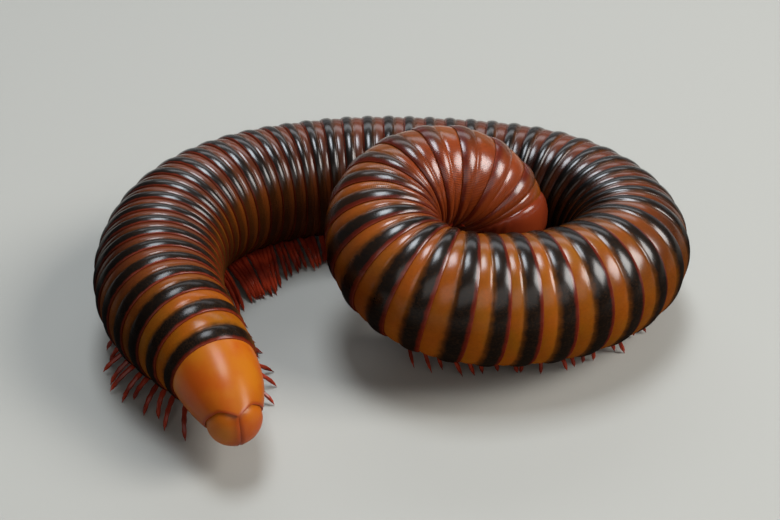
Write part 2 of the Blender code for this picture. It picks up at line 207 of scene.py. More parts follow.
# The tail ring's rim and the collar plate: place in millimetres, share of the radius, and rise in them
TAIL_STEPS = 22
TAIL_RIM = ((-0.09, 0.975), (-0.08, 0.93), (0.1, 0.89), (0.35, 0.7))
TAIL_TIP_TURN = 0.62
TAIL_TIP_DROP = 0.42 * MM
VALVE_SEAM = 0.006 * MM
COLLAR_SIDES = 192
COLLAR_PROFILE = (
    (-0.5, 0.9, 0.0),
    (0.0, 1.0, 0.04),
    (0.12, 1.0, 0.12),
    (0.4, 1.0, 0.16),
    (0.8, 1.0, 0.13),
    (1.2, 1.0, 0.05),
    (1.6, 0.97, 0.0),
    (1.9, 0.945, 0.0),
    (2.1, 0.92, 0.0),
    (2.3, 0.89, 0.0),
    (2.42, 0.86, 0.0),
    (2.44, 0.83, 0.0),
    (2.3, 0.7, 0.0),
)

# The head's small parts: directions from its middle, and sizes in millimetres
HEAD_MEAN = 3.2
SOCKET = (0.19, 0.45, 0.87)
TEMPLE = (-0.28, 0.75, 0.58)
LIP_FURROW = 0.80
TEETH = 3
BRISTLES = 14
BROW_BRISTLES = 4
EYE_ROWS = 6
EYE_COLUMNS = 9
DOME_RADIUS = 0.088

# A feeler: start and end of each joint as shares of its length, and thickness along one joint
FEELER_JOINTS = (
    (0.0, 0.08), (0.08, 0.26), (0.26, 0.44), (0.44, 0.61), (0.61, 0.78), (0.78, 0.95), (0.95, 1.0),
)
FEELER_PROFILE = ((0.02, 0.62), (0.15, 0.72), (0.45, 0.9), (0.75, 1.0), (0.93, 0.96), (0.99, 0.78))
FEELER_STEPS = 60
SIDES = (("left", 1), ("right", -1))

# One leg, straight: share of its length from the root, and thickness beside the thickest
LEG_PROFILE = (
    (0.0, 0.75),
    (0.07, 1.0),
    (0.16, 0.78),
    (0.25, 1.0),
    (0.38, 0.78),
    (0.47, 0.96),
    (0.56, 0.74),
    (0.65, 0.88),
    (0.74, 0.66),
    (0.84, 0.74),
    (0.92, 0.5),
    (0.95, 0.24),
    (1.0, 0.05),
)
LEG_SIDES = 6


class MiddleLine:
    """A smooth curve through the route's points, read by distance from the tail."""

    def __init__(self, points, samples_per_span=60):
        points = np.array(points) * MM
        knots = np.concatenate([[0.0], np.cumsum(np.linalg.norm(np.diff(points, axis=0), axis=1))])
        bends = self.second_differences(knots, points)
        places = []
        headings = []
        for i in range(len(knots) - 1):
            span = knots[i + 1] - knots[i]
            last = i == len(knots) - 2
            for share in np.linspace(0.0, 1.0, samples_per_span, endpoint=last):
                a, b = 1.0 - share, share
                curve_a = (a**3 - a) * span**2 / 6.0
                curve_b = (b**3 - b) * span**2 / 6.0
                chord = a * points[i] + b * points[i + 1]
                places.append(chord + curve_a * bends[i] + curve_b * bends[i + 1])
                slope_a = -(3.0 * a**2 - 1.0) * span / 6.0
                slope_b = (3.0 * b**2 - 1.0) * span / 6.0
                rise = (points[i + 1] - points[i]) / span
                headings.append(rise + slope_a * bends[i] + slope_b * bends[i + 1])
        self.places = np.array(places) + np.array(MOVED)
        self.headings = np.array(headings)
        steps = np.linalg.norm(np.diff(self.places, axis=0), axis=1)
        self.distances = np.concatenate([[0.0], np.cumsum(steps)])
        self.length = float(self.distances[-1])

    @staticmethod
    def second_differences(knots, points):
        """The bends of a natural cubic curve at its knots."""
        count = len(knots)
        spans = np.diff(knots)
        system = np.eye(count)
        right = np.zeros((count, 3))
        for i in range(1, count - 1):
            system[i, i - 1] = spans[i - 1]
            system[i, i] = 2.0 * (spans[i - 1] + spans[i])
            system[i, i + 1] = spans[i]
            after = (points[i + 1] - points[i]) / spans[i]
            before = (points[i] - points[i - 1]) / spans[i - 1]
            right[i] = 6.0 * (after - before)
        return np.linalg.solve(system, right)

    def read(self, table, distance):
        return Vector([float(np.interp(distance, self.distances, table[:, axis])) for axis in range(3)])

    def station(self, distance):
        """The place, and the ways to the head, the left and the back, at this distance from the tail."""
        place = self.read(self.places, distance)
        heading = self.read(self.headings, distance).normalized()
        beyond = distance - min(max(distance, 0.0), self.length)
        place += beyond * heading
        level_left = UP.cross(heading).normalized()
        upmost = heading.cross(level_left)
        lean = math.radians(float(np.interp(distance / self.length, LEAN_SHARES, LEAN_DEGREES)))
        back = math.cos(lean) * upmost + math.sin(lean) * level_left
        left = math.cos(lean) * level_left - math.sin(lean) * upmost
        return place, heading, left, back


LINE = MiddleLine(ROUTE)
STATIONS = {}


def station_near(distance):
    """The station at this distance to a hundredth of a millimetre, kept for the next time."""
    key = round(distance / MM, 2)
    if key not in STATIONS:
        STATIONS[key] = LINE.station(key * MM)
    return STATIONS[key]


def body_radius(distance):
    """Radius of the body at this distance from the tail, without the rims of the rings."""
    tail_share = min(max((distance - TRUNK_START) / TAIL_TAPER, -0.35), 1.0)
    from_tail = (TRUNK_RADIUS - TAIL_RADIUS) * (1.0 - tail_share) ** 2
    neck_share = min(max((distance - TRUNK_END + NECK_TAPER) / NECK_TAPER, 0.0), 1.0)
    to_neck = (TRUNK_RADIUS - NECK_RADIUS) * neck_share**NECK_TAPER_POWER
    return TRUNK_RADIUS - from_tail - to_neck


def ring_edges():
    """Distances of the hind edges of all rings, and of the front edge of the last."""
    count = sum(RINGS_OF_LENGTH)
    places = np.linspace(TRUNK_START, TRUNK_END, 3000)
    middles = 0.5 * (places[1:] + places[:-1])
    pitches = np.interp(middles / MM, PITCH_AT, PITCHES) * MM
    counted = np.concatenate([[0.0], np.cumsum(np.diff(places) / pitches)])
    goals = np.linspace(0.0, counted[-1], count + 1)
    return [float(np.interp(goal, counted, places)) for goal in goals]


EDGES = ring_edges()


def deselect():
    """Nothing is selected or being edited."""
    if bpy.context.mode != "OBJECT":
        bpy.ops.object.mode_set(mode="OBJECT")
    bpy.ops.object.select_all(action="DESELECT")


def turned_solid(name, rows, sides):
    """A closed round solid about X, drawn out cap by cap through the rows of place along X and radius."""
    deselect()
    first_at, first_radius = rows[0]
    bpy.ops.mesh.primitive_circle_add(
        vertices=sides,
        radius=first_radius,
        fill_type="NGON",
        location=(first_at, 0.0, 0.0),
        rotation=(0.0, math.radians(90.0), 0.0),
    )
    piece = bpy.context.object
    piece.name = name
    bpy.ops.object.transform_apply(location=True, rotation=True, scale=True)
    bpy.ops.object.mode_set(mode="EDIT")
    bpy.ops.mesh.select_all(action="SELECT")
    for (at, radius), (next_at, next_radius) in zip(rows, rows[1:]):
        bpy.ops.mesh.extrude_region_move(TRANSFORM_OT_translate={"value": (next_at - at, 0.0, 0.0)})
        widen = next_radius / radius
        bpy.ops.transform.resize(value=(1.0, widen, widen), center_override=(next_at, 0.0, 0.0))
    bpy.ops.mesh.select_all(action="SELECT")
    bpy.ops.mesh.normals_make_consistent(inside=False)
    bpy.ops.object.mode_set(mode="OBJECT")
    deselect()
    return piece


def copy_of(piece, name):
    """A copy with its own mesh."""
    twin = piece.copy()
    twin.data = piece.data.copy()
    twin.name = name
    bpy.context.scene.collection.objects.link(twin)
    return twin


def joined(name, pieces):
    """The pieces as one object of this name."""
    deselect()
    for piece in pieces:
        piece.select_set(True)
    bpy.context.view_layer.objects.active = pieces[0]
    if len(pieces) > 1:
        bpy.ops.object.join()
    result = bpy.context.object
    result.name = name
    result.data.name = name
    deselect()
    return result


def finished(piece, material, replaced=(), angle=40.0):
    """Gives the piece its material, smooths it, sets it on the body and hides the solids it stands for."""
    deselect()
    piece.data.materials.clear()
    piece.data.materials.append(material)
    piece.select_set(True)
    bpy.context.view_layer.objects.active = piece
    bpy.ops.object.transform_apply(location=True, rotation=True, scale=True)
    bpy.ops.object.shade_smooth_by_angle(angle=math.radians(angle))
    deselect()
    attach(piece, ROOT)
    if replaced:
        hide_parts(*replaced)


def last_added(name):
    """The piece that the last operator made, under this name."""
    piece = bpy.context.object
    piece.name = name
    return piece


def moved_points(piece, rule):
    """Moves each point of the piece's mesh to where the rule puts it."""
    for vertex in piece.data.vertices:
        vertex.co = rule(vertex.co)
    piece.data.update()


def painted(piece, name, values):
    """Keeps a number on each point of the mesh for the materials."""
    attribute = piece.data.attributes.new(name, "FLOAT", "POINT")
    attribute.data.foreach_set("value", np.array(values, np.float32))


class Finish:
    """Builds one material's nodes."""

    def __init__(self, name):
        self.material = bpy.data.materials.new(name)
        self.material.use_nodes = True
        self.tree = self.material.node_tree
        self.shader = self.tree.nodes["Principled BSDF"]

    def put(self, value, socket):
        """Links a socket, or sets a plain value."""
        if isinstance(value, bpy.types.NodeSocket):
            self.tree.links.new(value, socket)
        else:
            socket.default_value = value

    def node(self, kind, inputs, **settings):
        """A new node with these settings, and these inputs by name or number."""
        node = self.tree.nodes.new("ShaderNode" + kind)
        for name, value in settings.items():
            setattr(node, name, value)
        for key, value in inputs.items():
            self.put(value, node.inputs[key])
        return node

    def attribute(self, name):
        """A number painted on the piece."""
        return self.node("Attribute", {}, attribute_name=name).outputs["Fac"]

    def sum(self, operation, first, second=0.0, clamp=False):
        return self.node("Math", {0: first, 1: second}, operation=operation, use_clamp=clamp).outputs[0]

    def plus(self, first, second, clamp=False):
        return self.sum("ADD", first, second, clamp)

    def minus(self, first, second):
        return self.sum("SUBTRACT", first, second)

    def times(self, first, second):
        return self.sum("MULTIPLY", first, second)

    def between(self, value, low, high, from_value=0.0, to_value=1.0):
        """Eases from one value to the other while the input goes from low to high."""
        inputs = {"Value": value, "From Min": low, "From Max": high}
        inputs |= {"To Min": from_value, "To Max": to_value}
        return self.node("MapRange", inputs, interpolation_type="SMOOTHSTEP").outputs["Result"]

    def blend(self, share, first, second):
        """Goes from the first colour to the second by this share."""
        return self.node("Mix", {"Factor": share, 6: first, 7: second}, data_type="RGBA").outputs[2]

    def noise(self, scale, detail, spot=None):
        """A cloudy pattern over the piece, or over the spots given."""
        spot = spot or self.node("TexCoord", {}).outputs["Object"]
        return self.node("TexNoise", {"Vector": spot, "Scale": scale, "Detail": detail}).outputs["Fac"]

    def bump(self, height, strength, distance):
        node = self.node("Bump", {"Height": height, "Strength": strength, "Distance": distance})
        self.put(node.outputs[0], self.shader.inputs["Normal"])

    def set(self, values):
        """Sets the shader's own sockets."""
        for name, value in values.items():
            self.put(value, self.shader.inputs[name])


def colour(tint):
    """The tint as an opaque colour."""
    return (*tint, 1.0)


def ease(value, low, high):
    """0 to 1 with level ends while the value goes from low to high."""
    share = min(max((value - low) / (high - low), 0.0), 1.0)
    return share * share * (3.0 - 2.0 * share)


def table(distance, rows):
    """Reads a value from rows of distance in mm and value."""
    return float(np.interp(distance / MM, [row[0] for row in rows], [row[1] for row in rows]))

# Along the body: length of a ring's hind part, width of its red edge, and strength of its dark band
HIND_LENGTH = (
    (8, 1.5), (14, 1.3), (24, 1.2), (60, 1.15), (86, 1.3), (96, 1.6),
    (100, 1.7), (108, 1.7), (114, 1.4), (125, 1.3), (140, 1.3),
)
RED_WIDTH = (
    (6, 0.30), (10, 0.2), (14, 0.17), (60, 0.17), (86, 0.25), (98, 0.42),
    (108, 0.45), (114, 0.32), (122, 0.4), (130, 0.7), (140, 0.55),
)
DARKNESS = ((0, 1.0), (120, 1.0), (127, 0.8), (133, 0.5), (142, 0.3))
# How much the crest of the back shines
GLOSSY = (
    (6, 0.35), (14, 0.5), (24, 0.8), (32, 1.0), (90, 1.0),
    (98, 0.78), (112, 0.78), (118, 1.0), (140, 1.0),
)
# How much of the back's orange is browned, and how much painted shade darkens each flank
BROWNED = (
    (7, 0.0), (10, 0.3), (13, 0.75), (17, 1.0), (82, 1.0),
    (89, 0.75), (95, 0.3), (101, 0.12), (142, 0.1),
)
OUTER_PAINTED_SHADE = (
    (6, 0.2), (12, 0.45), (18, 0.62), (66, 0.62), (78, 0.72), (88, 0.5),
    (97, 0.1), (112, 0.0), (119, 0.4), (128, 0.4), (134, 0.1),
)
INNER_PAINTED_SHADE = (
    (8, 0.1), (18, 0.12), (28, 0.25), (40, 0.45), (58, 0.5),
    (68, 0.66), (88, 0.66), (97, 0.4), (108, 0.2), (142, 0.0),
)
# Where the tail's bend ends and the front of the coil begins, in millimetres
TAIL_BEND_END = 62.0
FRONT_OF_COIL = 95.0
# All gloss is in the shell's coat, and the shell under it gives no shine of its own
GLOSS = {"IOR": 1.5, "Specular IOR Level": 0.0, "Coat Weight": 0.6, "Coat Roughness": 0.23, "Coat IOR": 1.5}
LIMB_GLOSS = {**GLOSS, "Coat Weight": 0.4, "Coat Roughness": 0.15, "Roughness": 0.28}
UNLIT = (0.0, 0.0, 0.0)
# The numbers painted on each point of a ring for its material
RING_NUMBERS = (
    "behind", "around", "length", "hind", "red", "dark",
    "brown", "russet", "painted_shade", "gloss", "striped", "chance",
)


def ring_look(distance, back, flank):
    """How dark the band is, how brown or russet the orange and how much painted shade darkens the whole, by
    distance and side.
    """
    at = distance / MM
    inner = ease(-flank, 0.0, 0.55)
    outer = ease(flank, 0.1, 0.75)
    dark = table(distance, DARKNESS)
    fade_from, fade_to = (0.25, 0.75) if at < TAIL_BEND_END else (-0.35, 0.15)
    fade = 0.5 if at < FRONT_OF_COIL else 0.4
    dark *= 1.0 - fade * inner * (1.0 - ease(back, fade_from, fade_to))
    dark *= ease(back, -1.0, -0.75)
    dark *= 1.0 - 0.85 * inner * ease(at, 110.0, 118.0) * (1.0 - ease(back, 0.3, 0.8))
    browned = table(distance, BROWNED)
    # The inner flank browns more than the outer: partly the flank's own red-brown, partly painted shade for
    # the inside of the bend
    brown = browned * max(ease(back, 0.1, 0.7), (0.5 + 0.4 * ease(at, 28.0, 44.0)) * inner, 0.55 * outer)
    # Painted shade: each flank is darkened by its table, where the bends and the neighbouring turns of the
    # coil shade the body
    painted_shade = outer * table(distance, OUTER_PAINTED_SHADE) + inner * table(distance, INNER_PAINTED_SHADE)
    russet = ease(at, 104.0, 118.0) * max(0.95 * inner * (1.0 - ease(back, 0.5, 1.0)), 0.3)
    return {"dark": dark, "brown": brown, "painted_shade": painted_shade, "russet": russet}


def shell_finish(name, shell, bright, pale, coat_weight, coat_roughness):
    """Glossy horny shell in two tones that grade into each other in soft patches, redder at its seams."""
    finish = Finish(name)
    patches = finish.noise(260.0, 4.0)
    fine = finish.noise(1500.0, 3.0)
    base = finish.blend(finish.between(patches, 0.3, 0.7), colour(bright), colour(pale))
    seam = finish.between(finish.attribute("seam"), 0.0, 1.0)
    base = finish.blend(seam, base, colour(shell.rose))
    finish.bump(finish.plus(fine, finish.times(patches, 1.5)), 0.22, 0.05 * MM)
    roughness = finish.between(patches, 0.3, 0.75, shell.gloss_low, shell.gloss_high)
    finish.set({**GLOSS, "Base Color": base, "Roughness": roughness})
    finish.set({"Coat Weight": coat_weight, "Coat Roughness": coat_roughness})
    return finish.material


def banded_finish(title, shell):
    """The rings' shell: orange in front, then a dark band, and a dark red hind edge."""
    finish = Finish(title)
    patches = finish.noise(300.0, 4.0)
    broad = finish.noise(110.0, 3.0)
    fine = finish.noise(1500.0, 5.0)
    ring = {name: finish.attribute(name) for name in RING_NUMBERS}
    behind, around, edge, red, dark = [ring[name] for name in ("behind", "around", "hind", "red", "dark")]
    spot = {0: finish.times(around, 9.0), 1: behind, 2: ring["length"]}
    spot = finish.node("CombineXYZ", spot).outputs[0]
    ripple = finish.noise(1.0, 3.0, spot)
    grain = finish.noise(3.5, 4.0, spot)
    sway = finish.minus(ripple, 0.5)
    wander = finish.plus(finish.times(sway, 0.45), finish.times(finish.minus(grain, 0.5), 0.03))
    depth = finish.plus(behind, wander)

    base = finish.blend(finish.between(patches, 0.35, 0.7), colour(shell.orange), colour(shell.ochre))
    base = finish.blend(ring["russet"], base, colour(shell.russet))
    brown = finish.plus(ring["brown"], finish.times(sway, 0.3), True)
    base = finish.blend(brown, base, colour(shell.brown))
    fringe = finish.between(depth, finish.minus(edge, 0.1), finish.plus(edge, 0.5), 0.6, 0.0)
    base = finish.blend(finish.times(fringe, dark), base, colour(shell.olive))
    black = finish.blend(finish.between(grain, 0.4, 0.7), colour(shell.black), colour(shell.soot))
    band = finish.between(depth, finish.minus(edge, 0.36), finish.plus(edge, 0.28), 1.0, 0.0)
    base = finish.blend(finish.times(band, dark), base, black)

    hind = finish.plus(behind, finish.times(wander, 0.5))
    margin = finish.between(hind, finish.times(red, 0.4), red, 1.0, 0.0)
    base = finish.blend(finish.times(margin, 0.85), base, colour(shell.margin))
    # Paler rim along each hind edge: partly the rim's own paler red, partly a painted highlight for the
    # light its rounded edge catches
    base = finish.blend(finish.between(hind, 0.0, 0.13, 0.3, 0.0), base, colour(shell.lip))
    # Painted shade from the flanks, with random mottling and a random darkening per ring, blends the colour
    # towards black
    mottle = finish.between(finish.plus(broad, finish.times(grain, 0.5)), 0.5, 1.0, 0.22, 0.0)
    shade = finish.plus(ring["painted_shade"], mottle, True)
    shade = finish.plus(shade, finish.times(ring["chance"], 0.12), True)
    base = finish.blend(shade, base, colour(UNLIT))

    lines = finish.sum("SINE", finish.times(around, 190.0))
    lines = finish.times(lines, finish.between(ripple, 0.35, 0.6, 0.4, 1.0))
    striped = finish.times(lines, ring["striped"])
    height = finish.plus(striped, finish.times(fine, 0.6))
    height = finish.plus(height, finish.times(patches, 0.8))
    finish.bump(height, 0.55, 0.04 * MM)
    roughness = finish.between(patches, 0.3, 0.75, shell.gloss_low, shell.gloss_high)
    finish.set({**GLOSS, "Base Color": base, "Roughness": roughness})
    finish.set({"Coat Weight": ring["gloss"]})
    return finish.material


def limb_finish(name, tint, deep):
    """Glossy horn in two tones of red or brown."""
    finish = Finish(name)
    patches = finish.noise(420.0, 3.0)
    base = finish.blend(finish.between(patches, 0.3, 0.7), colour(tint), colour(deep))
    finish.bump(finish.noise(2600.0, 2.0), 0.2, 0.03 * MM)
    finish.set({**LIMB_GLOSS, "Base Color": base})
    return finish.material


class MillipedeShell(bpy.types.PropertyGroup):
    """Colours and gloss of the shell."""

    orange: bpy.props.FloatVectorProperty(
        name="Orange", description="Front of each ring",
        default=(0.33, 0.080, 0.004), subtype="COLOR", min=0.0, max=1.0,
    )
    ochre: bpy.props.FloatVectorProperty(
        name="Ochre", description="Yellower patches of the orange",
        default=(0.29, 0.093, 0.005), subtype="COLOR", min=0.0, max=1.0,
    )
    brown: bpy.props.FloatVectorProperty(
        name="Red-brown", description="What the orange turns to on the back and the flanks",
        default=(0.13, 0.028, 0.009), subtype="COLOR", min=0.0, max=1.0,
    )
    russet: bpy.props.FloatVectorProperty(
        name="Russet", description="What the orange turns to in the innermost turn",
        default=(0.32, 0.052, 0.011), subtype="COLOR", min=0.0, max=1.0,
    )
    olive: bpy.props.FloatVectorProperty(
        name="Olive fringe", description="Front border of the dark band",
        default=(0.10, 0.036, 0.006), subtype="COLOR", min=0.0, max=1.0,
    )
    black: bpy.props.FloatVectorProperty(
        name="Black", description="Dark band of each ring",
        default=(0.01, 0.006, 0.004), subtype="COLOR", min=0.0, max=1.0,
    )
    soot: bpy.props.FloatVectorProperty(
        name="Soot", description="Browner grain of the dark band",
        default=(0.02, 0.01, 0.005), subtype="COLOR", min=0.0, max=1.0,
    )
    margin: bpy.props.FloatVectorProperty(
        name="Hind margin", description="Dark red hind edge of each ring",
        default=(0.125, 0.011, 0.004), subtype="COLOR", min=0.0, max=1.0,
    )
    # Partly the rim's own colour, partly a painted highlight along the rounded hind edge
    lip: bpy.props.FloatVectorProperty(
        name="Edge", description="Paler rim of the hind edge",
        default=(0.35, 0.06, 0.02), subtype="COLOR", min=0.0, max=1.0,
    )
    rose: bpy.props.FloatVectorProperty(
        name="Rose", description="Redder shell beside the seams of the tail end and the head",
        default=(0.20, 0.014, 0.004), subtype="COLOR", min=0.0, max=1.0,
    )
    head: bpy.props.FloatVectorProperty(
        name="Head", description="Red-brown of the head",
        default=(0.115, 0.015, 0.005), subtype="COLOR", min=0.0, max=1.0,
    )
    head_pale: bpy.props.FloatVectorProperty(
        name="Pale head", description="Paler patches of the head",
        default=(0.165, 0.024, 0.006), subtype="COLOR", min=0.0, max=1.0,
    )
    tail: bpy.props.FloatVectorProperty(
        name="Tail", description="Orange of the tail end",
        default=(0.35, 0.058, 0.004), subtype="COLOR", min=0.0, max=1.0,
    )
    tail_pale: bpy.props.FloatVectorProperty(
        name="Pale tail", description="Yellower patches of the tail end",
        default=(0.38, 0.112, 0.006), subtype="COLOR", min=0.0, max=1.0,
    )
    gloss_low: bpy.props.FloatProperty(
        name="Smoothest", description="Roughness of the smoothest places", default=0.14, min=0.0, max=1.0
    )
    gloss_high: bpy.props.FloatProperty(
        name="Roughest", description="Roughness of the roughest places", default=0.26, min=0.0, max=1.0
    )


class MillipedeLimbs(bpy.types.PropertyGroup):
    """Sizes and colours of the legs and feelers."""

    thickness: bpy.props.FloatProperty(
        name="Leg thickness", description="Radius of a leg at its thickest",
        default=0.30 * MM, min=0.2 * MM, unit="LENGTH",
    )
    red: bpy.props.FloatVectorProperty(
        name="Leg red", description="Red of the legs and feelers",
        default=(0.34, 0.034, 0.012), subtype="COLOR", min=0.0, max=1.0,
    )
    deep: bpy.props.FloatVectorProperty(
        name="Leg dark red", description="Darker red of the legs and feelers",
        default=(0.14, 0.013, 0.006), subtype="COLOR", min=0.0, max=1.0,
    )
    horn: bpy.props.FloatVectorProperty(
        name="Horn", description="Dark brown of jaws and lip",
        default=(0.060, 0.013, 0.007), subtype="COLOR", min=0.0, max=1.0,
    )
    seed: bpy.props.IntProperty(
        name="Seed", description="Start of the random spread of the legs", default=7, min=0
    )


class MillipedeStage(bpy.types.PropertyGroup):
    """Camera, floor and light."""

    elevation: bpy.props.FloatProperty(
        name="Elevation", description="Camera's angle above the floor",
        default=math.radians(35.0), subtype="ANGLE",
    )
    distance: bpy.props.FloatProperty(
        name="Distance", description="Camera's distance from what it looks at",
        default=137.5 * MM, unit="LENGTH",
    )
    lens: bpy.props.FloatProperty(
        name="Lens", description="Focal length in millimetres", default=62.95, min=10.0
    )
    look_height: bpy.props.FloatProperty(
        name="Look height", description="Height of the point looked at", default=7.5 * MM, unit="LENGTH"
    )
    window_light: bpy.props.FloatProperty(
        name="Window light", description="Strength of all lamps beside their own watts", default=1.0, min=0.0
    )
    sky_light: bpy.props.FloatProperty(
        name="Sky light", description="Brightness of the surroundings", default=0.05, min=0.0
    )
    floor: bpy.props.FloatVectorProperty(
        name="Floor", description="Colour of the floor",
        default=(0.365, 0.358, 0.33), subtype="COLOR", min=0.0, max=1.0,
    )


def straight_ring():
    """One ring as turned on a lathe: along X from its hind edge at 0 to its front edge at 1 millimetre."""
    rows = [(share * MM, TRUNK_RADIUS + rise * MM) for share, rise in RING_PROFILE]
    return turned_solid("straight_ring", rows, RING_SIDES)


def laid_ring(model, index):
    """A copy of the ring laid on the body's middle line, with its painted numbers."""
    ring = copy_of(model, f"ring_{index}")
    hind = EDGES[index]
    pitch = EDGES[index + 1] - hind
    chance = random.Random(index).random()
    numbers = {name: [] for name in RING_NUMBERS}
    middle = hind + 0.5 * pitch
    bend = (LINE.station(middle + 0.5 * MM)[1] - LINE.station(middle - 0.5 * MM)[1]) / MM
    middle_left, middle_back = LINE.station(middle)[2:]
    middle_radius = body_radius(middle)
    hind_length = table(hind, HIND_LENGTH) * MM
    band_edge = hind_length / MM - 0.1 + 0.14 * (chance - 0.5)
    red_width = table(hind, RED_WIDTH)
    shine = table(hind, GLOSSY)
    in_hole = ease(hind / MM, 100.0, 116.0)
    past_bend = ease(hind / MM, 58.0, 68.0)
    for vertex in ring.data.vertices:
        share = vertex.co.x / MM
        turn = math.atan2(vertex.co.y, vertex.co.z)
        up = math.cos(turn)
        aside = math.sin(turn)
        rise = math.hypot(vertex.co.y, vertex.co.z) - TRUNK_RADIUS
        out = aside * middle_left + up * middle_back
        stretch = max(1.0 - (middle_radius * out).dot(bend), LEAST_STRETCH)
        shown = pitch * stretch
        scale = stretch**BAND_STRETCH
        hind_part = min(hind_length * scale, 0.7 * shown)
        if share < HIND_PART:
            behind = share / HIND_PART * hind_part
        else:
            behind = hind_part + (share - HIND_PART) / (1.0 - HIND_PART) * (shown - hind_part)
        distance = hind + behind / stretch
        place, heading, left, back = station_near(distance)
        out = aside * left + up * back
        if rise > 0.0:
            rise *= ease(stretch, 0.05, 0.5)
        reach = body_radius(distance) + rise
        if out.dot(bend) > 0.0:
            reach = min(reach, TIGHTEST / out.dot(bend))
        vertex.co = place + reach * out
        hole_side = ease(-aside, 0.1, 0.7) * in_hole
        crest_side = ease(up, 0.28, 0.9) * shine * (1.0 - 0.7 * ease(-aside, 0.2, 0.9) * past_bend)
        lined = ease(-up, -0.75, 0.1) if share < HIND_PART else 0.0
        spot = ring_look(hind, up, aside)
        spot["behind"] = max(behind, 0.0) / scale / MM
        spot["around"] = turn
        spot["length"] = distance / MM
        spot["hind"] = band_edge
        spot["red"] = red_width
        spot["chance"] = chance
        spot["gloss"] = 0.04 + 0.96 * max(crest_side, hole_side)
        spot["striped"] = max(lined, 4.0 * hole_side)
        for name in RING_NUMBERS:
            numbers[name].append(spot[name])
    for name, values in numbers.items():
        painted(ring, name, values)
    return ring


class MILLIPEDE_OT_rings(bpy.types.Operator):
    """Lays the trunk's rings along the body, in the same lengths as the solids"""

    bl_idname = "millipede.rings"
    bl_label = "Trunk Rings"

    def execute(self, context):
        material = banded_finish("banded_shell", context.scene.millipede_shell)
        model = straight_ring()
        first = 0
        for number, ring_count in enumerate(RINGS_OF_LENGTH, start=1):
            rings = [laid_ring(model, index) for index in range(first, first + ring_count)]
            piece = joined(f"rings_{number}", rings)
            finished(piece, material, (f"body_length_{number}",), 50.0)
            first += ring_count
        bpy.data.objects.remove(model, do_unlink=True)
        return {"FINISHED"}


def folded_leg_points(distance, side):
    """Root, knee and tip of a leg folded against the belly, pressed in where the coil turns down."""
    place, heading, left, back = LINE.station(distance)
    radius = body_radius(distance)
    pressed = 1.0 - 0.12 * ease(distance / MM, 119.0, 125.0)
    points = []
    for depth, spread in FOLDED_SHARES:
        points.append(place - pressed * depth * radius * back + side * spread * radius * left)
    return points


def standing_leg_points(distance, side):
    """Root, knee and foot of a leg on the floor. The outer side of the coil is the left, side 1."""
    place, heading, left, back = LINE.station(distance)
    radius = body_radius(distance)
    level_left = UP.cross(heading).normalized()
    along = Vector((heading.x, heading.y, 0.0)).normalized()
    root = place - LEG_ROOT_DEPTH * radius * back + side * LEG_ROOT_SPREAD * radius * left
    reach = table(distance, OUTER_REACH if side > 0 else INNER_REACH) * MM
    ahead = table(distance, OUTER_TRAIL if side > 0 else INNER_TRAIL) * MM
    ahead += SWAY * math.sin(2.0 * math.pi * distance / SWAY_LENGTH + 0.8 * side)
    foot = place + side * reach * level_left + ahead * along
    foot.z = 0.0
    aside = max(LEG_KNEE_SPREAD * radius, LEG_KNEE_SHARE * reach)
    knee = place - LEG_KNEE_DROP * radius * back + side * aside * level_left + 0.6 * ahead * along
    knee.z = max(knee.z, KNEE_LOWEST)
    return root, knee, foot


def leg_points(distance, side):
    """Root, knee and foot of a leg, which stands on the floor unless the coil is raised there."""
    return (folded_leg_points if distance >= STANDING_UNTIL else standing_leg_points)(distance, side)


def laid_leg(model, name, distance, side, spread):
    """A copy of the straight leg arched over its knee, a little out of step with its neighbours."""
    twin = copy_of(model, name)
    root, knee, foot = leg_points(distance, side)
    along = LINE.station(distance)[1]
    outwards = Vector((foot.x - root.x, foot.y - root.y, 0.0)).normalized()
    if distance < STANDING_UNTIL:
        swing = (spread.random() - 0.5) * (OUTER_SWING if side > 0 else INNER_SWING) * MM
        if side < 0:
            swing += INNER_WAVE * MM * math.sin(2.0 * math.pi * distance / SWAY_LENGTH - 0.8)
            further = table(distance, CROWDED_REACH)
            foot += further * MM * outwards
            knee += 0.4 * further * MM * outwards
        foot += swing * along + (spread.random() - 0.7) * FOOT_STRAY * MM * outwards
        foot.z = max(0.0, spread.random() - 0.55) * FOOT_LIFT * MM
        knee += 0.6 * swing * along + Vector((0.0, 0.0, (spread.random() - 0.3) * KNEE_STRAY * MM))
        knee += KNEE_ARCH * (knee - 0.5 * (root + foot))

    def bent(point):
        share = min(point.x / MM, 1.0)
        early = root.lerp(knee, share)
        late = knee.lerp(foot, share)
        heading = (late - early).normalized()
        across = (along - along.dot(heading) * heading).normalized()
        over = across.cross(heading).normalized()
        place = early.lerp(late, share) + point.y * across + point.z * over
        place.z = max(place.z, 0.0)
        return place

    moved_points(twin, bent)
    return twin


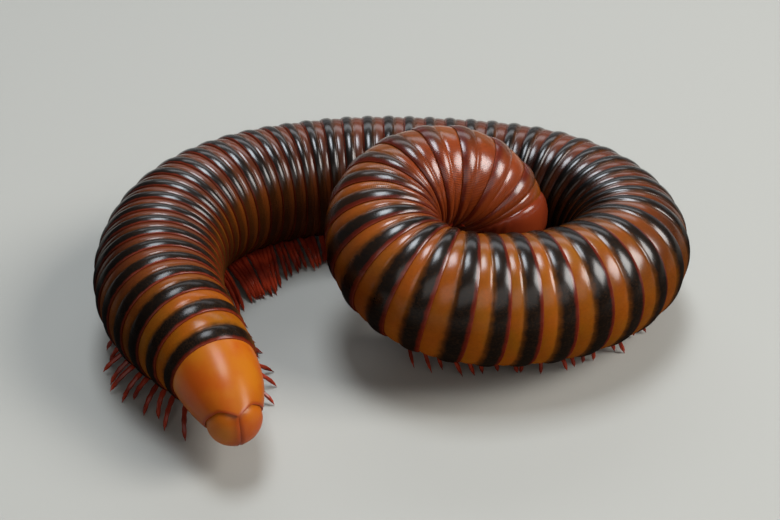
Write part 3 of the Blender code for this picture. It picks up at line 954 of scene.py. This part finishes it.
class MILLIPEDE_OT_legs(bpy.types.Operator):
    """Sets legs under each ring, standing on the floor or folded where the coil is raised"""

    bl_idname = "millipede.legs"
    bl_label = "Legs"

    def execute(self, context):
        limbs = context.scene.millipede_limbs
        material = limb_finish("leg_horn", limbs.red, limbs.deep)
        rows = [(share * MM, thick * limbs.thickness) for share, thick in LEG_PROFILE]
        model = turned_solid("straight_leg", rows, LEG_SIDES)
        spread = random.Random(limbs.seed)
        tips = []
        legless = sum(RINGS_OF_LENGTH) - 1
        first = 0
        for number, ring_count in enumerate(RINGS_OF_LENGTH, start=1):
            legs = []
            for ring in range(max(first, LEGLESS_TAIL_RINGS), min(first + ring_count, legless)):
                crowded = CROWDED_FROM < EDGES[ring] < CROWDED_TO
                for side, shares in ((-1, CROWDED_SHARES if crowded else PAIR_SHARES), (1, PAIR_SHARES)):
                    for share in shares:
                        distance = EDGES[ring] + share * (EDGES[ring + 1] - EDGES[ring])
                        tip = leg_points(distance, side)[2]
                        spacing = FOLDED_SPACING if distance >= STANDING_UNTIL else FOOT_SPACING
                        if any((tip - other).length < spacing for other in tips):
                            continue
                        tips.append(tip)
                        legs.append(laid_leg(model, f"leg_{number}_{len(legs)}", distance, side, spread))
            finished(joined(f"legs_{number}", legs), material)
            first += ring_count
        bpy.data.objects.remove(model, do_unlink=True)
        return {"FINISHED"}


class MILLIPEDE_OT_tail(bpy.types.Operator):
    """Builds the smooth last ring and the two valves that close the body behind it"""

    bl_idname = "millipede.tail"
    bl_label = "Tail End"

    def execute(self, context):
        shell = context.scene.millipede_shell
        plain = shell_finish("tail_shell", shell, shell.tail, shell.tail_pale, 0.4, 0.3)
        start = TRUNK_START + 0.5 * MM
        front_radius = body_radius(TRUNK_START) - 0.02 * MM
        rows = []
        for step in range(TAIL_STEPS + 1):
            share = step / TAIL_STEPS
            radius = front_radius + (PREANAL_END_RADIUS - front_radius) * share**PREANAL_FULLNESS
            rows.append(((PREANAL_END - start) * share, radius))
        end_at = rows[-1][0]
        rows += [(end_at + at * MM, share * PREANAL_END_RADIUS) for at, share in TAIL_RIM]
        ring = turned_solid("preanal_ring_shell", rows, RING_SIDES)
        seam = []

        def laid(point):
            share = min(max(point.x / (PREANAL_END - start), 0.0), 1.0)
            place, heading, left, back = LINE.station(max(start + point.x, 0.0))
            place += min(start + point.x, 0.0) * heading
            turn = abs(math.atan2(point.y, point.z))
            reach = math.hypot(point.y, point.z) / PREANAL_END_RADIUS
            tip = max(0.0, 1.0 - turn / TAIL_TIP_TURN) ** 1.15 * ease(share, 0.55, 1.0) * min(reach, 1.0)
            seam.append(0.3 * ease(share, 0.97, 1.0) + 0.35 * ease(share, 0.6, 1.0))
            place -= (PREANAL_SLOPE * share * point.z + TAIL_POINT * tip) * heading
            return place + point.y * left + (point.z - TAIL_TIP_DROP * tip) * back

        moved_points(ring, laid)
        painted(ring, "seam", seam)
        finished(ring, plain, ("preanal_ring",))

        place, heading, left, back = LINE.station(0.0)
        turn = Matrix((heading, left, back)).transposed()
        for name, side in SIDES:
            deselect()
            bpy.ops.mesh.primitive_uv_sphere_add(segments=64, ring_count=48, radius=1.0)
            valve = last_added("anal_valve_shell_" + name)

            def shaped(point, side=side):
                x = point.x * VALVE_LENGTH
                y = 1.05 * point.y * VALVE_WIDTH
                z = 1.04 * point.z * VALVE_HEIGHT
                if side * y < VALVE_SEAM:
                    y = side * VALVE_SEAM
                near = max(0.0, 1.0 - (abs(y) - VALVE_SEAM) / (0.5 * MM))
                lip = math.sin(math.pi * min(near, 1.0) ** 1.5) if near < 1.0 else 0.0
                x -= 0.06 * MM * lip * max(0.0, -point.x)
                x += 0.07 * MM * near**6 * max(0.0, -point.x)
                return place + turn @ Vector((x - 0.2 * MM, y, z))

            near_seam = []
            for vertex in valve.data.vertices:
                from_seam = abs(vertex.co.y) * VALVE_WIDTH / (1.1 * MM)
                near_seam.append(0.55 * ease(1.0 - from_seam, 0.0, 1.0))
            moved_points(valve, shaped)
            painted(valve, "seam", near_seam)
            bpy.ops.object.mode_set(mode="EDIT")
            bpy.ops.mesh.select_all(action="SELECT")
            bpy.ops.mesh.remove_doubles(threshold=0.002 * MM)
            bpy.ops.mesh.normals_make_consistent(inside=False)
            bpy.ops.object.mode_set(mode="OBJECT")
            finished(valve, plain, ("anal_valve_" + name,), 60.0)
        return {"FINISHED"}


def head_frame():
    """The middle of the head and its directions: to the mouth, left, and to the face."""
    place, along, left, back = LINE.station(TRUNK_END + GAP + COLLUM_LENGTH)
    bow = Matrix.Rotation(math.radians(HEAD_BOW), 3, left)
    forwards = bow @ along
    over = bow @ back
    centre = place + HEAD_AHEAD * along - HEAD_BELOW * back
    return centre, forwards, left, over


def head_spot(ahead, aside, above):
    """A place on the head, in millimetres from its middle."""
    centre, forwards, left, over = head_frame()
    return centre + MM * (ahead * forwards + aside * left + above * over)


def head_ball(name, middle, half_sizes, segments, rings, rule=None):
    """A ball of these half sizes at its place on the head, with the rule's outward moves in millimetres."""
    deselect()
    bpy.ops.mesh.primitive_uv_sphere_add(segments=segments, ring_count=rings, radius=1.0)
    ball = last_added(name)
    centre, forwards, left, over = head_frame()
    turn = Matrix((forwards, left, over)).transposed()
    at = head_spot(*middle)

    def placed(point):
        grown = rule(point) if rule else 0.0
        local = Vector([point[axis] * (half_sizes[axis] + grown) * MM for axis in range(3)])
        return at + turn @ local

    moved_points(ball, placed)
    return ball


def groove(distance, width, depth):
    """How far a surface sinks in a groove of this width, at this distance from its middle."""
    return -depth * math.exp(-((distance / width) ** 2))


def beside(point, spot, side):
    """How far a point of the round head is from a spot on this side of it, in millimetres."""
    ahead, aside, above = spot
    return (point - Vector((ahead, side * aside, above)).normalized()).length * HEAD_MEAN


def head_shape(point):
    """The head's brow furrow, sockets, temples and upper lip, as moves out of its round shape."""
    ahead, aside, above = point
    move = 0.0
    if above > -0.1:
        brow = ease(above, 0.0, 0.3) * ease(0.75 - ahead, 0.0, 0.15)
        move += groove(aside * HEAD_HALF[1], 0.13, 0.09) * brow
    for side in (1, -1):
        from_socket = beside(point, SOCKET, side)
        move += groove(from_socket, 0.42, 0.26) + 0.10 * math.exp(-(((from_socket - 0.62) / 0.16) ** 2))
        move += 0.08 * math.exp(-(((beside(point, TEMPLE, side) - 1.15) / 0.2) ** 2))
    move += 0.14 * ease(ahead, 0.5, 0.75) * ease(0.8 - abs(aside), 0.0, 0.25)
    move += groove((ahead - LIP_FURROW) * 3.6, 0.12, 0.10) * ease(0.75 - abs(aside), 0.0, 0.1)
    if ahead > LIP_FURROW:
        notch = max(0.0, 1.0 - abs(aside) / 0.16)
        move -= 0.35 * ease(ahead, 0.9, 1.0) * notch * notch * ease(0.2 - above, -0.2, 0.4)
    return move


def head_seams(point):
    """Where the head's shell is redder: its furrows and its sockets."""
    ahead, aside, above = point
    seam = 0.5 * math.exp(-((aside * HEAD_HALF[1] / 0.12) ** 2)) * ease(above, 0.0, 0.3)
    seam += 0.5 * math.exp(-(((ahead - LIP_FURROW) * 3.6 / 0.14) ** 2)) * ease(0.75 - abs(aside), 0.0, 0.1)
    for side in (1, -1):
        seam += 0.8 * ease(0.55 - beside(point, SOCKET, side), 0.0, 0.2)
    return min(seam, 1.0)


def collar_shape(point):
    """The straight collar plate, with ridges on its side lobes and its front edge drawn back below."""
    turn = math.atan2(point.y, point.z)
    lobe = ease(abs(turn), 1.2, 1.75) * ease(2.9 - abs(turn), 0.0, 0.3)
    ridges = 0.05 * MM * lobe * math.sin(26.0 * abs(turn)) * ease(point.x / MM, 0.1, 0.6)
    back_part = ease(2.2 - abs(turn), 0.0, 0.9)
    length = 1.0 - 0.35 * (1.0 - back_part) * ease(point.x / MM, 0.3, 1.0)
    reach = math.hypot(point.y, point.z)
    grown = (reach + ridges) / reach
    return Vector((point.x * length, point.y * grown, point.z * grown))


class MILLIPEDE_OT_head(bpy.types.Operator):
    """Builds the collar plate and the head capsule"""

    bl_idname = "millipede.head"
    bl_label = "Collar and Head"

    def execute(self, context):
        shell = context.scene.millipede_shell
        material = shell_finish("head_shell", shell, shell.head, shell.head_pale, 0.6, 0.2)
        radius = body_radius(TRUNK_END)
        rows = [(at * MM, share * radius + rise * MM) for at, share, rise in COLLAR_PROFILE]
        collar = turned_solid("collum_shell", rows, COLLAR_SIDES)
        front = [0.7 * ease(vertex.co.x / MM, 2.15, 2.4) for vertex in collar.data.vertices]
        painted(collar, "seam", front)

        def laid(point):
            point = collar_shape(point)
            place, heading, left, back = LINE.station(TRUNK_END + point.x)
            return place + (point.y * left + point.z * back)

        moved_points(collar, laid)
        finished(collar, material, ("collum",), 45.0)

        head = head_ball("head_capsule", (0.0, 0.0, 0.0), HEAD_HALF, 192, 112, head_shape)
        centre, *axes = head_frame()
        unturned = Matrix(axes)
        seams = []
        for vertex in head.data.vertices:
            local = unturned @ (vertex.co - centre)
            direction = Vector([local[axis] / (HEAD_HALF[axis] * MM) for axis in range(3)]).normalized()
            seams.append(head_seams(direction))
        painted(head, "seam", seams)
        finished(head, material, ("head",), 60.0)
        return {"FINISHED"}


def little_ball(name, at, radius):
    """A small ball of few faces at its place on the head."""
    deselect()
    bpy.ops.mesh.primitive_ico_sphere_add(subdivisions=2, radius=radius * MM, location=head_spot(*at))
    bpy.ops.object.transform_apply(location=True, rotation=True, scale=True)
    return last_added(name)


def little_cone(name, middle, along, vertices, foot_radius, tip_radius, length):
    """A small cone with its middle here, along this direction."""
    deselect()
    bpy.ops.mesh.primitive_cone_add(
        vertices=vertices, radius1=foot_radius, radius2=tip_radius, depth=length
    )
    cone = last_added(name)
    cone.rotation_euler = along.to_track_quat("Z", "Y").to_euler()
    cone.location = middle
    bpy.ops.object.transform_apply(location=True, rotation=True, scale=True)
    return cone


def bristle(name, at, to, radius):
    """A thin cone from one place on the head to another."""
    foot, tip = head_spot(*at), head_spot(*to)
    along = tip - foot
    return little_cone(name, foot + 0.5 * along, along, 6, radius * MM, 0.15 * radius * MM, along.length)


def lip_plate_shape(point):
    """The furrows that divide the lip plate into its middle and side plates."""
    ahead, aside, above = point
    move = groove(aside * 1.6, 0.07, 0.07) * ease(ahead, -0.1, 0.1)
    slant = abs(aside) - 0.42 * ease(0.3 - ahead, 0.0, 0.9)
    move += groove(slant * 1.6, 0.07, 0.07) * ease(0.15 - ahead, 0.0, 0.2)
    move += groove((abs(aside) - 0.5) * 1.6, 0.07, 0.06) * ease(ahead, 0.0, 0.2)
    return move


def jaw_shape(point):
    """The furrow between the jaw's hinge plate and its cheek plate."""
    return groove((point.x + 0.15 + 0.25 * point.z) * 1.8, 0.09, 0.09)


class MILLIPEDE_OT_mouth(bpy.types.Operator):
    """Builds the jaws, the lip plate under the head, and the bristles and teeth of the upper lip"""

    bl_idname = "millipede.mouth"
    bl_label = "Jaws and Lip Plate"

    def execute(self, context):
        limbs = context.scene.millipede_limbs
        material = limb_finish("jaw_horn", limbs.horn, limbs.deep)
        parts = [head_ball("lip_plate_shell", LIP_MIDDLE, LIP_HALF, 112, 64, lip_plate_shape)]
        for side in (1, -1):
            parts.append(little_ball(f"palp_inner_{side}", (2.75, side * 0.34, -1.95), 0.24))
            parts.append(little_ball(f"palp_outer_{side}", (2.45, side * 0.95, -1.95), 0.26))
        finished(joined("lip_plate_shell", parts), material, ("lip_plate",), 60.0)
        for name, side in SIDES:
            middle = (JAW_MIDDLE[0], side * JAW_MIDDLE[1], JAW_MIDDLE[2])
            jaw = head_ball("mandible_shell_" + name, middle, JAW_HALF, 112, 64, jaw_shape)
            finished(jaw, material, ("mandible_" + name,), 60.0)
        trim = []
        for index in range(TEETH):
            aside = 0.26 * (index - 1)
            trim.append(bristle(f"tooth_{index}", (3.25, aside, -0.75), (3.52, aside, -1.02), 0.12))
        for index in range(BRISTLES):
            angle = math.radians(-52.0 + 8.0 * index)
            foot = (3.42 * math.cos(angle), 3.3 * math.sin(angle), -0.55)
            tip = (3.85 * math.cos(angle), 3.7 * math.sin(angle), -0.95)
            trim.append(bristle(f"bristle_{index}", foot, tip, 0.035))
        for index in range(BROW_BRISTLES):
            aside = 0.55 * (index - 1.5)
            trim.append(bristle(f"brow_bristle_{index}", (2.95, aside, 1.35), (3.25, aside, 1.75), 0.03))
        finished(joined("lip_teeth_and_bristles", trim), material)
        return {"FINISHED"}


class MILLIPEDE_OT_eyes(bpy.types.Operator):
    """Builds the two patches of small round eyes, each a dark cushion with rows of domes"""

    bl_idname = "millipede.eyes"
    bl_label = "Eyes"

    def execute(self, context):
        finish = Finish("eye_black")
        black = colour((0.008, 0.006, 0.006))
        finish.set({"Base Color": black, "Roughness": 0.15, "IOR": 1.5, "Coat Weight": 0.5})
        for name, side in SIDES:
            middle = (EYE_MIDDLE[0], side * EYE_MIDDLE[1], EYE_MIDDLE[2])
            parts = [head_ball("eye_cushion_" + name, middle, [0.96 * half for half in EYE_HALF], 32, 20)]
            for row in range(EYE_ROWS):
                for column in range(EYE_COLUMNS - row):
                    up = math.radians(2.0 + 15.0 * row)
                    ahead = math.radians(-58.0 + 14.0 * column + 7.0 * row)
                    spot = Vector((
                        EYE_HALF[0] * math.sin(ahead),
                        side * EYE_HALF[1] * math.cos(ahead) * math.cos(up),
                        EYE_HALF[2] * math.cos(ahead) * math.sin(up),
                    ))
                    at = [middle[axis] + spot[axis] for axis in range(3)]
                    parts.append(little_ball(f"dome_{name}_{row}_{column}", at, DOME_RADIUS))
            finished(joined("eye_patch_" + name, parts), finish.material, ("eye_" + name,), 60.0)
        return {"FINISHED"}


def feeler_course(side):
    """The feeler's middle line, as even steps from its socket to its tip with its corners rounded."""
    points = [head_spot(ahead, side * aside, above) for ahead, aside, above in ANTENNA_SPOTS]
    spans = [0.0]
    for here, there in zip(points, points[1:]):
        spans.append(spans[-1] + (there - here).length)
    even = np.linspace(0.0, spans[-1], FEELER_STEPS + 1)
    rounding = np.ones(9) / 9.0
    rounded = []
    for axis in range(3):
        values = np.interp(even, spans, [point[axis] for point in points])
        padded = np.concatenate([[values[0]] * 4, values, [values[-1]] * 4])
        rounded.append(np.convolve(padded, rounding, mode="valid"))
    return [Vector([float(values[step]) for values in rounded]) for step in range(FEELER_STEPS + 1)]


class MILLIPEDE_OT_antennae(bpy.types.Operator):
    """Builds the two feelers of seven joints, each with four little cones at its tip"""

    bl_idname = "millipede.antennae"
    bl_label = "Antennae"

    def execute(self, context):
        limbs = context.scene.millipede_limbs
        material = limb_finish("antenna_horn", limbs.red, limbs.deep)
        rows = []
        for start, end in FEELER_JOINTS:
            span = end - start
            swell = 0.31 + 0.07 * start
            rows += [((start + share * span) * MM, thick * swell * MM) for share, thick in FEELER_PROFILE]
        model = turned_solid("straight_antenna", rows, 24)
        for name, side in SIDES:
            course = feeler_course(side)

            def laid(point, course=course):
                goal = min(max(point.x / MM, 0.0), 1.0) * float(FEELER_STEPS)
                index = min(int(goal), FEELER_STEPS - 1)
                heading = (course[min(index + 2, FEELER_STEPS)] - course[max(index - 1, 0)]).normalized()
                across = heading.cross(UP).normalized()
                over = across.cross(heading)
                here = course[index].lerp(course[index + 1], goal - index)
                return here + point.y * across + point.z * over

            feeler = copy_of(model, "feeler_" + name)
            moved_points(feeler, laid)
            heading = (course[-1] - course[-6]).normalized()
            across = heading.cross(UP).normalized()
            over = across.cross(heading)
            parts = [feeler]
            for index in range(4):
                angle = math.radians(45.0 + 90.0 * index)
                foot = course[-1] + 0.1 * MM * (math.cos(angle) * across + math.sin(angle) * over)
                foot -= 0.05 * MM * heading
                middle = foot + 0.08 * MM * heading
                tip = little_cone(f"tip_{index}", middle, heading, 8, 0.06 * MM, 0.03 * MM, 0.2 * MM)
                parts.append(tip)
            finished(joined("feeler_" + name, parts), material, ("antenna_" + name,), 50.0)
        bpy.data.objects.remove(model, do_unlink=True)
        return {"FINISHED"}


# The stage's soft lamps: name, place and size in metres, watts, and tint
LAMPS = (
    ("skylight", (-0.02, 0.10, 0.50), (0.16, 0.22), 1.9, (0.86, 0.93, 1.0)),
    ("back_window", (0.0, 0.50, 0.40), (0.60, 0.16), 0.8, (0.90, 0.95, 1.0)),
    ("back_wall", (0.1, 0.70, 0.14), (1.10, 0.12), 0.2, (0.90, 0.95, 1.0)),
    ("side_window", (0.42, -0.06, 0.37), (0.28, 0.26), 3.3, (1.0, 0.98, 0.95)),
    ("front_window", (0.10, -0.44, 0.36), (0.70, 0.32), 0.8, (1.0, 0.97, 0.93)),
)
LAMPS_AIM = Vector((0.0, 0.0, 0.01))


class MILLIPEDE_OT_stage(bpy.types.Operator):
    """Sets the camera, a plain pale floor and soft studio light"""

    bl_idname = "millipede.stage"
    bl_label = "Stage"

    def execute(self, context):
        stage = context.scene.millipede_stage
        target = Vector((0.0, 0.0, stage.look_height)) + MOVED
        back = Vector((0.0, -math.cos(stage.elevation), math.sin(stage.elevation)))
        deselect()
        bpy.ops.object.camera_add(location=target + stage.distance * back)
        camera = last_added("camera")
        camera.rotation_euler = (-back).to_track_quat("-Z", "Y").to_euler()
        camera.data.lens = stage.lens
        camera.data.sensor_width = 36.0
        camera.data.clip_start = 0.005
        camera.data.clip_end = 20.0
        context.scene.camera = camera

        bpy.ops.mesh.primitive_plane_add(size=4.0)
        floor = last_added("floor")
        finish = Finish("floor_paint")
        finish.bump(finish.noise(900.0, 3.0), 0.1, 0.05 * MM)
        finish.set({"Base Color": colour(stage.floor), "Roughness": 0.6, "Specular IOR Level": 0.3})
        floor.data.materials.append(finish.material)

        for name, place, size, watts, tint in LAMPS:
            bpy.ops.object.light_add(type="AREA", location=place)
            lamp = last_added(name)
            lamp.data.shape = "RECTANGLE"
            lamp.data.size = size[0]
            lamp.data.size_y = size[1]
            lamp.data.energy = watts * stage.window_light
            lamp.data.color = tint
            lamp.rotation_euler = (LAMPS_AIM - Vector(place)).to_track_quat("-Z", "Y").to_euler()
        context.scene.view_settings.view_transform = "Standard"
        world = context.scene.world or bpy.data.worlds.new("studio")
        context.scene.world = world
        world.use_nodes = True
        background = world.node_tree.nodes["Background"]
        background.inputs["Color"].default_value = colour((0.86, 0.92, 1.0))
        background.inputs["Strength"].default_value = stage.sky_light
        deselect()
        return {"FINISHED"}


OPERATORS = (
    MILLIPEDE_OT_rings,
    MILLIPEDE_OT_legs,
    MILLIPEDE_OT_tail,
    MILLIPEDE_OT_head,
    MILLIPEDE_OT_mouth,
    MILLIPEDE_OT_eyes,
    MILLIPEDE_OT_antennae,
    MILLIPEDE_OT_stage,
)
GROUPS = {
    "millipede_shell": MillipedeShell,
    "millipede_limbs": MillipedeLimbs,
    "millipede_stage": MillipedeStage,
}


class MILLIPEDE_PT_maker(bpy.types.Panel):
    """Lists the settings and the steps"""

    bl_label = "Millipede"
    bl_idname = "MILLIPEDE_PT_maker"
    bl_space_type = "VIEW_3D"
    bl_region_type = "UI"
    bl_category = "Millipede"

    def draw(self, context):
        layout = self.layout
        for name, group in GROUPS.items():
            box = layout.box()
            for field in group.__annotations__:
                box.prop(getattr(context.scene, name), field)
        for operator in OPERATORS:
            layout.operator(operator.bl_idname)


def register():
    for group in GROUPS.values():
        bpy.utils.register_class(group)
    for name, group in GROUPS.items():
        setattr(bpy.types.Scene, name, bpy.props.PointerProperty(type=group))
    for operator in OPERATORS:
        bpy.utils.register_class(operator)
    bpy.utils.register_class(MILLIPEDE_PT_maker)


def unregister():
    bpy.utils.unregister_class(MILLIPEDE_PT_maker)
    for operator in reversed(OPERATORS):
        bpy.utils.unregister_class(operator)
    for name, group in GROUPS.items():
        delattr(bpy.types.Scene, name)
        bpy.utils.unregister_class(group)


def main():
    register()
    bpy.ops.millipede.rings()
    bpy.ops.millipede.legs()
    bpy.ops.millipede.tail()
    bpy.ops.millipede.head()
    bpy.ops.millipede.mouth()
    bpy.ops.millipede.eyes()
    bpy.ops.millipede.antennae()
    bpy.ops.millipede.stage()


if __name__ == "__main__":
    main()
